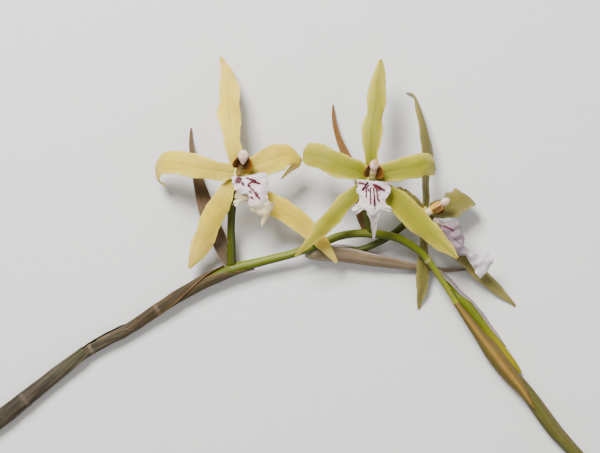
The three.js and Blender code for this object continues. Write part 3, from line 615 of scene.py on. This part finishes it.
def mottle_group():
    """Soft patches, fine grain and specks over the surface, from its place in the spray."""
    nodes, (size, seed), out = new_group(
        "mottle", {"Patch Size": 6, "Seed": 0}, ["Patch", "Grain", "Speck"]
    )
    at = nodes.put("TexCoord")["Object"]
    seeded = nodes.vectors("ADD", at, nodes.put("CombineXYZ", {2: seed})[0])[0]
    patch = nodes.noise(seeded, nodes.maths("DIVIDE", 1 / MM, size), 2.0)[0]
    cell = nodes.put("TexVoronoi", {"Vector": seeded, "Scale": 420.0})["Distance"]
    nodes.connect(out, {
        "Patch": nodes.step(patch, 0.35, 0.65), "Grain": nodes.noise(at, 2600.0, 2.0)[0],
        "Speck": nodes.step(cell, 0.13, 0.05),
    })
    return nodes.tree


VEINS = veins_group()
STROKE = stroke_group()
MOTTLE = mottle_group()


# ---- finishes
class Skin(Nodes):
    """A material in the making. Its tones are laid over its body tone, each where a mask is 1. It knows
    how far along and across the piece a place is, and how near its margin, all from 0 to 1."""

    def __init__(self, name, tones, roughness, patch=6.0, seed=0.0, subsurface=0.1):
        self.material = bpy.data.materials.new(name)
        self.material.use_nodes = True
        super().__init__(self.material.node_tree)
        self.tones = tones
        self.tone = tones["body"]
        self.seed = seed
        self.shader = self.tree.nodes["Principled BSDF"].inputs
        self.connect(self.shader, {
            "Roughness": roughness, "Specular IOR Level": 0.25, "Subsurface Weight": subsurface,
            "Subsurface Radius": (1.0, 0.8, 0.3), "Subsurface Scale": 0.6 * MM,
        })
        self.across, self.along, _ = self.put("SeparateXYZ", {0: self.put("UVMap")[0]})
        off = self.maths("ABSOLUTE", self.maths("SUBTRACT", self.across, 0.5))
        self.margin = self.times(off, 2.0)
        mottle = self.put("Group", {"Patch Size": patch, "Seed": seed}, node_tree=MOTTLE)
        self.patch, self.grain, self.speck = mottle

    def veins(self, count, waver, shift=0.0, crosswise=False):
        across, along = (self.along, self.across) if crosswise else (self.across, self.along)
        seed = self.seed + shift
        given = {"Across": across, "Along": along, "Count": count, "Waver": waver, "Seed": seed}
        return self.put("Group", given, node_tree=VEINS)

    def lay(self, label, mask, amount=1.0):
        """Lays a tone over the others where the mask is 1, as strongly as the amount."""
        self.tone = self.blend(self.times(mask, amount), self.tone, self.tones[label])

    def fade(self, label, value, low, high, to_low=0.0, to_high=1.0):
        """Lays a tone over the others in a smooth step of the value."""
        self.tone = self.blend(self.step(value, low, high, to_low, to_high), self.tone, self.tones[label])

    def done(self, height=None, depth=0.06, strength=0.4):
        """The material, with its height as a bump of this depth in millimetres."""
        self.connect(self.shader, {"Base Color": self.tone})
        if height is not None:
            given = {"Height": height, "Distance": depth * MM, "Strength": strength}
            self.connect(self.shader, {"Normal": self.put("Bump", given)[0]})
        return self.material


def tepal_finish(name, tones, band, seed):
    """Waxy petal skin: body, base, tip, rib and margin tones, with a coloured band along the middle."""
    skin = Skin(name, tones, 0.45, 8.0, seed, 0.12)
    veins = skin.veins(15.0, 0.06)
    skin.fade("base", skin.along, 0.5, 0.03)
    skin.fade("tip", skin.along, 0.5, 1.0, 0.0, 0.9)
    skin.fade("rib", skin.margin, 0.1, 0.7, band, 0.0)
    skin.fade("margin", skin.margin, 0.6, 1.0, 0.0, 0.75)
    skin.fade("rib", skin.margin, 0.0, 0.06, 0.35, 0.0)
    skin.lay("shade", skin.patch, 0.3)
    skin.lay("shade", veins["Streak"], 0.4)
    skin.lay("rib", veins["Line"], 0.2)
    skin.lay("shade", skin.speck, 0.2)
    skin.connect(skin.shader, {"Roughness": skin.step(skin.grain, 0.3, 0.7, 0.4, 0.55)})
    return skin.done(skin.maths("ADD", skin.times(veins["Line"], -1.0), skin.grain), 0.14, 0.6)


def paper_finish(name, tones, seed=0.0, count=16.0, roughness=0.7, ring=None, bands=()):
    """Dry bract or sheath skin with pale and dark streaks. It can have a pale ring at one place along,
    and bands: each starts at a place across, is full at another, and has a tone."""
    skin = Skin(name, tones, roughness, 5.0, seed, 0.05)
    veins = skin.veins(count, 0.04)
    skin.fade("base", skin.along, 0.35, 0.0)
    skin.fade("tip", skin.along, 0.6, 1.0)
    for start, full, label in bands:
        skin.fade(label, skin.across, start, full, 0.0, 0.9)
    skin.fade("margin", skin.margin, 0.8, 1.0, 0.0, 0.8)
    if ring:
        skin.lay("ring", skin.near(skin.along, ring, 0.025), 0.5)
    skin.lay("margin", skin.veins(7.0, 0.1, shift=3)["Streak"], 0.36)
    skin.lay("vein", skin.patch, 0.2)
    skin.lay("vein", veins["Streak"], 0.4)
    skin.lay("vein", veins["Line"], 0.3)
    return skin.done(skin.maths("ADD", veins["Line"], skin.times(skin.grain, 0.6)), 0.15, 0.6)


def stem_finish(name, tones, count=22.0, ring=None):
    """Living green skin, with a painted highlight along the side towards the key light and painted shade
    along the other side, paler towards its end, with fine lengthwise lines. With a pale ring at one place
    along, it has painted shade near its start, up to the mouth of the last sheath."""
    skin = Skin(name, tones, 0.38, 9.0, subsurface=0.08)
    veins = skin.veins(count, 0.02)
    # Painted highlight along the side towards the key light.
    skin.fade("light", skin.across, 0.3, 0.62, 0.9, 0.0)
    skin.lay("body", skin.patch, 0.25)
    # Painted shade along the other side.
    skin.fade("under", skin.across, 0.52, 0.78)
    skin.fade("end", skin.along, 0.62, 0.8, 0.0, 0.85)
    if ring:
        # Painted shade over the stalk's start, up to the mouth of the last sheath.
        skin.fade("under", skin.along, 0.29, 0.35, 0.6, 0.0)
    skin.lay("under", veins["Line"], 0.2)
    skin.lay("light", skin.speck, 0.3)
    if ring:
        skin.lay("ring", skin.near(skin.along, ring, 0.005), 0.5)
    return skin.done(skin.maths("ADD", veins["Line"], skin.times(skin.grain, 0.5)), 0.08, 0.5)


def lip_finish(name, tones, seed, cream=0.5, strokes=(), centre=None):
    """White lip in its tip tone from a place along it on, cream or, on the tail, a painted shade, with
    painted strokes about the flower's centre.
    """
    skin = Skin(name, tones, 0.5, 3.0, seed, 0.15)
    line = skin.veins(17.0, 0.09)["Line"]
    fringe = skin.veins(34.0, 0.05, crosswise=True)["Line"]
    fringe = skin.times(fringe, skin.step(skin.margin, 0.5, 0.8, 0.0, 0.5))
    middle = skin.step(skin.margin, 0.3, 0.05)
    skin.fade("tip", skin.along, cream, cream + 0.25)
    skin.lay("shade", skin.patch, 0.3)
    skin.lay("shade", line, 0.15)
    skin.lay("shade", fringe)
    skin.lay("callus", skin.step(skin.along, 0.2, 0.06, 0.0, 0.7), middle)
    if strokes:
        stain = skin.blend(skin.times(skin.patch, 0.6), tones["stroke"], tones["stroke_light"])
        skin.lay("halo", painted(skin, strokes, centre, 2.6), 0.4)
        skin.tone = skin.blend(painted(skin, strokes, centre, 1.15), skin.tone, stain)
    height = skin.maths("ADD", line, skin.grain)
    return skin.done(skin.maths("ADD", height, skin.times(fringe, 2.0)), 0.12, 0.5)


def painted(skin, strokes, centre, wider):
    """1 on any of the strokes, made wider, whose edges run a little into the skin round them."""
    at = skin.put("TexCoord")["Object"]
    local = skin.vectors("SUBTRACT", at, tuple((SHIFT + Vector(centre)) * MM))[0]
    flat = skin.vectors("MULTIPLY", local, (1 / MM, 1 / MM, 0.0))[0]
    spread = skin.vectors("SUBTRACT", skin.noise(at, 1500.0, 1.0)[1], (0.5, 0.5, 0.5))[0]
    position = skin.vectors("ADD", flat, skin.vectors("MULTIPLY", spread, (0.5, 0.5, 0))[0])[0]
    marks = 0.0
    for x1, y1, x2, y2, width in strokes:
        ends = {"Position": position, "Start": (x1, y1, 0), "End": (x2, y2, 0), "Width": width * wider}
        marks = skin.maths("MAXIMUM", skin.put("Group", ends, node_tree=STROKE)["Mark"], marks)
    return marks


def plain_finish(name, tones, roughness, patch):
    """A small waxy part in one tone with soft darker patches."""
    skin = Skin(name, tones, roughness, patch)
    skin.lay("shade", skin.patch)
    return skin.done(skin.grain)


def column_finish(name, tones):
    """The column: its foot, middle and dark top, with a sticky patch on the side that faces out."""
    skin = Skin(name, tones, 0.35, 1.2)
    skin.fade("middle", skin.along, 0.25, 0.5)
    skin.fade("top", skin.along, 0.5, 0.75)
    skin.lay("patch", skin.near(skin.along, 0.5, 0.16), skin.near(skin.across, 0.5, 0.2))
    skin.lay("top", skin.patch, 0.3)
    return skin.done(skin.grain)


def wing_finish(name, tones):
    """A column wing: dark inside and paler along its rim."""
    skin = Skin(name, tones, 0.32, 1.0)
    skin.fade("rim", skin.margin, 0.45, 0.95)
    skin.lay("body", skin.patch, 0.4)
    return skin.done(skin.grain)


def table_finish():
    skin = Skin("pale_table", palette(body=(226, 225, 222), grain=(232, 231, 228)), 0.8, subsurface=0.0)
    skin.lay("grain", skin.put("TexNoise", {"Scale": 900.0, "Detail": 2.0})[0])
    return skin.done()


# ---- tones
def palette(**shown):
    """Named colours, each given as a screen shows it, from 0 to 255, and kept as linear values."""

    def linear(value):
        value /= 255
        return value / 12.92 if value <= 0.04045 else ((value + 0.055) / 1.055) ** 2.4

    return {label: (*map(linear, rgb), 1) for label, rgb in shown.items()}


CREAM = palette(
    body=(238, 210, 58), base=(210, 192, 76), tip=(240, 212, 108), rib=(182, 152, 30),
    margin=(252, 234, 104), shade=(176, 142, 56),
)
LIME = palette(
    body=(166, 158, 30), base=(110, 116, 14), tip=(224, 202, 92), rib=(120, 124, 14), margin=(224, 204, 86),
    shade=(142, 130, 34),
)
OLIVE = palette(
    body=(128, 118, 48), base=(116, 109, 38), tip=(160, 148, 84), rib=(88, 84, 24), margin=(166, 153, 90),
    shade=(100, 90, 46),
)
WHITE_LIP = palette(
    body=(238, 222, 224), tip=(238, 222, 164), shade=(196, 168, 176), callus=(222, 188, 92),
    stroke=(52, 4, 14), stroke_light=(112, 20, 24), halo=(206, 130, 150),
)
PURE_LIP = WHITE_LIP | palette(tip=(240, 230, 222))
CREAM_LOBE = WHITE_LIP | palette(body=(206, 190, 132), tip=(228, 214, 174))
# The tail's tip tone is painted shade, greying the tail towards its end.
TAIL_LIP = WHITE_LIP | palette(tip=(206, 196, 186), callus=(238, 222, 224))
# Lilac lip: its darker body is partly the lip's own tint and partly painted shade; only the tip is pale.
LILAC_LIP = palette(
    body=(154, 136, 142), tip=(240, 230, 230), shade=(106, 84, 96), callus=(190, 166, 120),
    stroke=(70, 16, 26), stroke_light=(120, 60, 76), halo=(150, 100, 120),
)
DARK_COLUMN = palette(
    body=(180, 152, 84), middle=(98, 68, 22), top=(56, 36, 8), patch=(140, 112, 68), heart=(222, 210, 150),
)
PALE_COLUMN = palette(
    body=(186, 180, 96), middle=(206, 188, 116), top=(220, 198, 156), patch=(126, 118, 20),
    heart=(150, 156, 50),
)
GOLD_COLUMN = palette(
    body=(240, 224, 190), middle=(226, 182, 44), top=(190, 140, 60), patch=(84, 44, 6),
    heart=(176, 164, 96),
)
# Green skins: light is a painted highlight and under a painted shade; under also draws fine lines, light
# pale specks.
STEM = palette(
    body=(86, 96, 8), light=(132, 140, 28), under=(30, 36, 3), end=(140, 142, 44), ring=(176, 170, 110),
)
OVARY = STEM | palette(body=(62, 68, 6), light=(82, 90, 12), end=(66, 72, 8))
BUD = palette(body=(88, 98, 10), light=(116, 124, 24), under=(66, 76, 8), end=(146, 132, 4))
INNER_BUD = BUD | palette(body=(92, 94, 18), end=(104, 102, 18))
GREY_BRACT = palette(
    body=(112, 90, 66), base=(104, 92, 70), tip=(122, 96, 76), margin=(150, 126, 102), vein=(50, 36, 16),
)
ORANGE_BRACT = palette(
    body=(128, 92, 44), base=(120, 98, 70), tip=(134, 92, 56), margin=(156, 116, 64), vein=(84, 54, 20),
)
BOAT_BRACT = palette(
    body=(134, 112, 80), base=(154, 150, 108), tip=(104, 78, 50), margin=(190, 170, 154), vein=(92, 72, 46),
    keel=(64, 44, 24),
)
BOAT_INSIDE = palette(
    body=(206, 190, 190), base=(196, 184, 164), tip=(150, 122, 104), margin=(220, 206, 206),
    vein=(150, 130, 130),
)
PAPER_BRACT = palette(
    body=(156, 138, 140), base=(126, 112, 92), tip=(168, 150, 140), margin=(196, 180, 180),
    vein=(74, 56, 60),
)
# Tan bract: the ridge tone is a painted highlight along its middle, the edge tone painted shade along one
# side, and the mauve tone a painted shadow beside the ridge.
TAN_BRACT = palette(
    body=(122, 96, 34), base=(144, 114, 50), tip=(150, 104, 26), margin=(142, 114, 58), vein=(88, 70, 28),
    edge=(78, 72, 16), ridge=(178, 138, 62), mauve=(102, 84, 52),
)
OLIVE_BRACT = palette(
    body=(92, 94, 18), base=(104, 94, 50), tip=(92, 92, 20), margin=(130, 110, 84), vein=(62, 60, 14),
    grey=(92, 88, 38), pink=(130, 112, 80), green=(60, 68, 6),
)
# Bands over a bract: where across they start, where they are full, and their tone.
# On the tan bract, the ridge band is a painted highlight, the edge band painted shade and the mauve band a
# painted shadow.
TAN_BANDS = [(0.38, 0.5, "ridge"), (0.52, 0.6, "body"), (0.58, 0.68, "edge"), (0.4, 0.3, "mauve")]
OLIVE_BANDS = [(0.36, 0.26, "green"), (0.5, 0.64, "grey"), (0.72, 0.78, "pink")]
SHEATH_TONES = {
    "sheath_1": palette(
        body=(48, 42, 28), base=(44, 40, 28), tip=(50, 54, 18), margin=(138, 120, 100), vein=(28, 26, 12),
        ring=(110, 98, 80),
    ),
    "sheath_2": palette(
        body=(50, 44, 26), base=(112, 98, 80), tip=(74, 56, 32), margin=(140, 122, 98), vein=(28, 28, 10),
        ring=(160, 138, 112),
    ),
    "sheath_3": palette(
        body=(52, 44, 26), base=(108, 92, 72), tip=(74, 60, 32), margin=(140, 108, 70), vein=(28, 26, 10),
        ring=(146, 124, 100),
    ),
    "sheath_4": palette(
        body=(58, 54, 28), base=(70, 58, 34), tip=(98, 74, 44), margin=(142, 108, 76), vein=(28, 28, 8),
        ring=(120, 98, 70),
    ),
}

# Painted strokes on the lips: x, y to x, y from the flower's centre, and their width.
STROKES_1 = [
    (-0.9, -2.6, 0, -1.1, 0.42), (-0.3, -3.2, 0.7, -1.2, 0.5), (0.6, -3.2, 1.1, -2, 0.42),
    (1.6, -3.2, 2.3, -4.2, 0.5), (0.5, -1.2, 1.5, -1.8, 0.3), (3.6, -1.4, 5.6, -2.4, 0.42),
    (5, -1.9, 7, -2.6, 0.5), (5.4, -2.9, 8.6, -3.6, 0.5), (4.4, -3.8, 5.8, -2.8, 0.42),
    (4, -4.2, 5, -4.6, 0.35), (4, -4.5, 6.2, -6.4, 0.3), (4.6, -6.6, 5.4, -7.4, 0.25),
    (6.6, -6.9, 7.4, -8.4, 0.4), (7.2, -6.8, 8.1, -8.2, 0.25), (7.6, -8.4, 8.6, -9.6, 0.35),
    (5.4, -9, 5.9, -9.5, 0.4),
]
STROKES_2 = [
    (-4.6, -1, -2.7, -1.5, 0.35), (-1.7, -1.1, -3.5, -3.7, 0.6), (-1.3, -2, -2.3, -3.4, 0.35),
    (-2, -4, -2, -4.8, 0.4), (-2.1, -5.4, -2.1, -6.6, 0.35), (-1.3, -3.5, -1, -4.2, 0.3),
    (-0.5, -3, -0.4, -9.2, 0.36), (0.7, -3, 1.1, -7.4, 0.36), (1, -7.4, 1.2, -9.7, 0.5),
    (1.7, -4, 2.1, -5.2, 0.4), (2.2, -5.8, 2.4, -6.4, 0.35), (2.3, -7, 2.9, -8.2, 0.42),
    (0.4, -1.3, 2.4, -4, 0.45), (1.1, -1.7, 3.4, -3.8, 0.4), (1.5, -1.8, 4.9, -3.9, 0.55),
    (1.2, -10.2, 1.4, -11, 0.25),
]
STROKES_3 = [(7, -5.4, 10.4, -7, 0.42), (5.8, -7.2, 6.8, -7.6, 0.26), (10.4, -9.8, 13.4, -12.6, 0.15)]


# ---- the spray
def stalk_relief(angle, u):
    """Low ribs round the stalk and a swelling at each node."""
    swelling = sum(0.35 * bell(u - at, 0.005) for at in STALK_NODES)
    return 0.04 * math.sin(9 * angle + 6 * u) + swelling + 0.05 * ripple(math.sin(angle), u * 40, 3)


def ovary_relief(angle, u):
    """Ribs that wind slowly round a flower's own stalk."""
    ribs = 0.09 * math.cos(6 * angle + 3 * u) * rise(u, 0.1, 0.4)
    return ribs + 0.04 * ripple(math.sin(angle), u * 9, 5)


def bud_relief(angle, u):
    """Three shallow seams where the folded sepals meet."""
    seams = -0.12 * bell(math.sin(1.5 * angle), 0.18) * rise(u, 0.2, 0.4)
    return seams + 0.04 * ripple(math.sin(angle), u * 7, 8)


def make_stalk():
    rachis = tube("flower_stalk", STALK, rows=220, sides=20, relief=stalk_relief)
    keep(rachis, "flower_stalk", stem_finish("green_stem", STEM, ring=PALE_NODE))
    skin = stem_finish("green_ovary", OVARY, count=10.0)
    for name, flower in FLOWERS.items():
        node = f"{name}_pedicel"
        keep(tube(node, flower["pedicel"], flower["centre"], 48, 20, ovary_relief), None, skin)


def make_sheaths():
    for seed, (name, shape) in enumerate(SHEATHS.items()):
        paper = paper_finish(f"{name}_paper", SHEATH_TONES[name], seed, 20.0, ring=shape["ring"])
        keep(sheath(name, shape, seed + 2), name, paper)


def make_tepals(name, flower, tones, band, seed):
    front = tepal_finish(f"{name}_petal_skin", tones, band, seed)
    # The backs are a darker copy of the front in its shade tone: painted shade on the backs.
    back = tepal_finish(f"{name}_petal_back", {**tones, "body": tones["shade"]}, band * 0.5, seed + 0.5)
    for turn, part in enumerate(TEPALS):
        curl = PETAL_CURL if part.endswith("petal") else SEPAL_CURL
        node = f"{name}_{part}"
        piece = blade(node, {"curl": curl, **flower[part]}, flower["centre"], seed=seed + turn, claw=1)
        keep(piece, node, front, back)


def make_lip(name, flower, tones, strokes, seed):
    node, centre = f"{name}_lip", flower["centre"]
    front = lip_finish(f"{node}_skin", tones, seed, strokes=strokes, centre=centre)
    back = lip_finish(f"{node}_back", tones, seed)
    keep(lip(node, flower["lip"], centre, seed), node, front, back)


def make_lip_lobes():
    """The side lobe that turns under the first lip, and the long tail of the second."""
    cream = lip_finish("cream_lobe", CREAM_LOBE, 3.0)
    lobe = lip("flower_1_side_lobe", FLOWER_1["side_lobe"], FLOWER_1["centre"], 5, 24, 24)
    keep(lobe, "flower_1_lip", cream)
    # The tail greys from 0.2 along on, as painted shade.
    white = lip_finish("white_tail", TAIL_LIP, 4.0, cream=0.2)
    tail = blade("flower_2_lip_tail", FLOWER_2["lip_tail"], FLOWER_2["centre"], LIP, 16, 40, 31, 0.3)
    keep(tail, "flower_2_lip", white)


def square_to(out, lie):
    """Out to the side, through and along a piece that lies this way, as the columns of a matrix."""
    out = (out - lie * out.dot(lie)).normalized()
    return Matrix((out, lie.cross(out), lie)).transposed()


def wing(name, flower, basis, hand):
    """An ear beside the column: half a bowl that opens forwards, from the column's side to its rim."""
    middle = Vector(flower["column"][2][:3]) + basis @ Vector((0, 0, 0.1))
    size = flower.get("wing", 1.2)
    rows = 20

    def place(s, row):
        up = 1.96 * (row / rows - 0.5)
        out = (1 + hand * s) / 2
        fullness = math.sqrt(1 - up * up)
        reach = 0.8 + 2.5 * out * fullness
        forward = (0.3 + 2.4 * out * out) * fullness
        return middle + basis @ Vector((hand * reach, -forward, 2.7 * up + 0.5 * out)) * size

    return thicken(grid_piece(name, 14, rows, place, flower["centre"], lambda s, u: 1), EAR)


def anther_cap(name, flower, basis):
    """The drop-shaped cap over the end of the column, narrow towards the lip."""
    cap = flower["cap"]
    turned = square_to(basis.col[0], Vector(cap["axis"]).normalized())

    def place(x, y, z):
        girth = cap["radius"] * (1 - 0.5 * rise(-z, -0.35, 1)) * (1 - 0.05 * bell(x, 0.12))
        return Vector(cap["centre"]) + turned @ Vector((x * girth, y * girth * 0.8, z * cap["length"]))

    return ball_piece(name, 24, place, flower["centre"])


def heart(name, flower):
    """The low swelling at the flower's centre, where its sepals, petals and lip join."""
    face = Vector(flower["dorsal_sepal"].get("face", UP)).normalized()
    turned = face.to_track_quat("Z", "Y").to_matrix()

    def place(x, y, z):
        girth = 2.7 + 0.1 * math.cos(5 * math.atan2(y, x))
        return turned @ Vector((x * girth, y * girth, 1.2 * z - 0.5))

    return ball_piece(name, 16, place, flower["centre"])


def make_column(name, flower, tones, wing_skin):
    node = f"{name}_column"
    foot, top = (Vector(flower["column"][i][:3]) for i in (1, 3))
    basis = square_to(Vector(flower["across"]).normalized(), (top - foot).normalized())
    waxy = plain_finish(f"{name}_heart_skin", {"body": tones["heart"], "shade": CREAM["base"]}, 0.45, 1.5)
    keep(heart(f"{name}_heart", flower), node, waxy)
    body = tube(node, flower["column"], flower["centre"], rows=20, face=-basis.col[1])
    keep(body, node, column_finish(f"{node}_skin", tones))
    for hand, word in ((-1, "left"), (1, "right")):
        keep(wing(f"{name}_{word}_wing", flower, basis, hand), node, wing_skin)
    keep(anther_cap(f"{name}_anther_cap", flower, basis), f"{name}_anther_cap", CAP)


def make_bracts():
    for name, flower, tones in (("flower_1", FLOWER_1, GREY_BRACT), ("flower_2", FLOWER_2, ORANGE_BRACT)):
        node = f"{name}_bract"
        piece = blade(node, flower["bract"], flower["centre"], PAPER, 16, 56, 11, 0.2)
        keep(piece, node, paper_finish(f"{node}_skin", tones))
    inside = paper_finish("boat_bract_inside", BOAT_INSIDE, count=14.0)
    outside = paper_finish("boat_bract_outside", BOAT_BRACT, count=22.0, bands=[(0.62, 0.5, "keel")])
    boat = blade("flower_3_bract", FLOWER_3_BRACT, (0, 0, 0), PAPER, 36, 80, 12, 0.2)
    keep(boat, "flower_3_bract", inside, outside)


def make_buds():
    green = stem_finish("green_bud", BUD, count=12.0)
    olive = stem_finish("olive_bud", INNER_BUD, count=12.0)
    for name, stations in BUDS.items():
        keep(tube(name, stations, relief=bud_relief), name, green if name == "bud_1" else olive)
    looks = (("paper", PAPER_BRACT, []), ("tan", TAN_BRACT, TAN_BANDS), ("olive", OLIVE_BRACT, OLIVE_BANDS))
    for seed, (name, (slot, tones, bands)) in enumerate(zip(BUD_BRACTS, looks)):
        piece = blade(name, BUD_BRACTS[name], (0, 0, 0), PAPER, 24, 60, 20 + seed, 0.15)
        keep(piece, name, paper_finish(f"{name}_skin", tones, seed, 13.0, 0.6, bands=bands))


# ---- table, light and camera
def make_table():
    bpy.ops.object.select_all(action="DESELECT")
    bpy.ops.mesh.primitive_plane_add(size=4)
    table = bpy.context.object
    table.name = "table"
    table.data.materials.append(table_finish())


def add_light(name, place, size, power):
    bpy.ops.object.light_add(type="AREA", location=place)
    light = bpy.context.object
    light.name = name
    light.data.size = size
    light.data.energy = power
    light.rotation_euler = (Vector((0, 0, 0.01)) - Vector(place)).to_track_quat("-Z", "Y").to_euler()


def make_light():
    add_light("key", (-0.24, 0.5, 0.7), 0.3, 16)
    add_light("fill", (0.6, -0.3, 0.7), 0.6, 2)
    world = bpy.data.worlds.new("studio")
    bpy.context.scene.world = world
    world.use_nodes = True
    backdrop = world.node_tree.nodes["Background"].inputs
    Nodes(world.node_tree).connect(backdrop, {"Color": (1, 1, 1, 1), "Strength": 0.42})


def make_camera():
    bpy.ops.object.camera_add(location=(SHIFT.x * MM, SHIFT.y * MM, EYE), rotation=(0, 0, 0))
    camera = bpy.context.object
    camera.data.lens = 100
    camera.data.sensor_width = 36
    bpy.context.scene.camera = camera


make_camera()
make_table()
make_light()
make_stalk()
make_sheaths()
CAP = plain_finish("cap_skin", palette(body=(234, 206, 192), shade=(196, 152, 106)), 0.4, 2.4)
WING = wing_finish("wing_skin", palette(body=(88, 50, 8), rim=(146, 94, 20)))
DARK_WING = wing_finish("dark_wing_skin", palette(body=(64, 34, 4), rim=(110, 62, 8)))
for name, band, seed, tones, lip_tones, strokes, column_tones, wing_skin in (
    ("flower_1", 0.12, 1, CREAM, WHITE_LIP, STROKES_1, DARK_COLUMN, WING),
    ("flower_2", 0.55, 11, LIME, PURE_LIP, STROKES_2, PALE_COLUMN, WING),
    ("flower_3", 0.3, 21, OLIVE, LILAC_LIP, STROKES_3, GOLD_COLUMN, DARK_WING),
):
    make_tepals(name, FLOWERS[name], tones, band, seed)
    make_lip(name, FLOWERS[name], lip_tones, strokes, seed)
    make_column(name, FLOWERS[name], column_tones, wing_skin)
make_lip_lobes()
make_bracts()
make_buds()
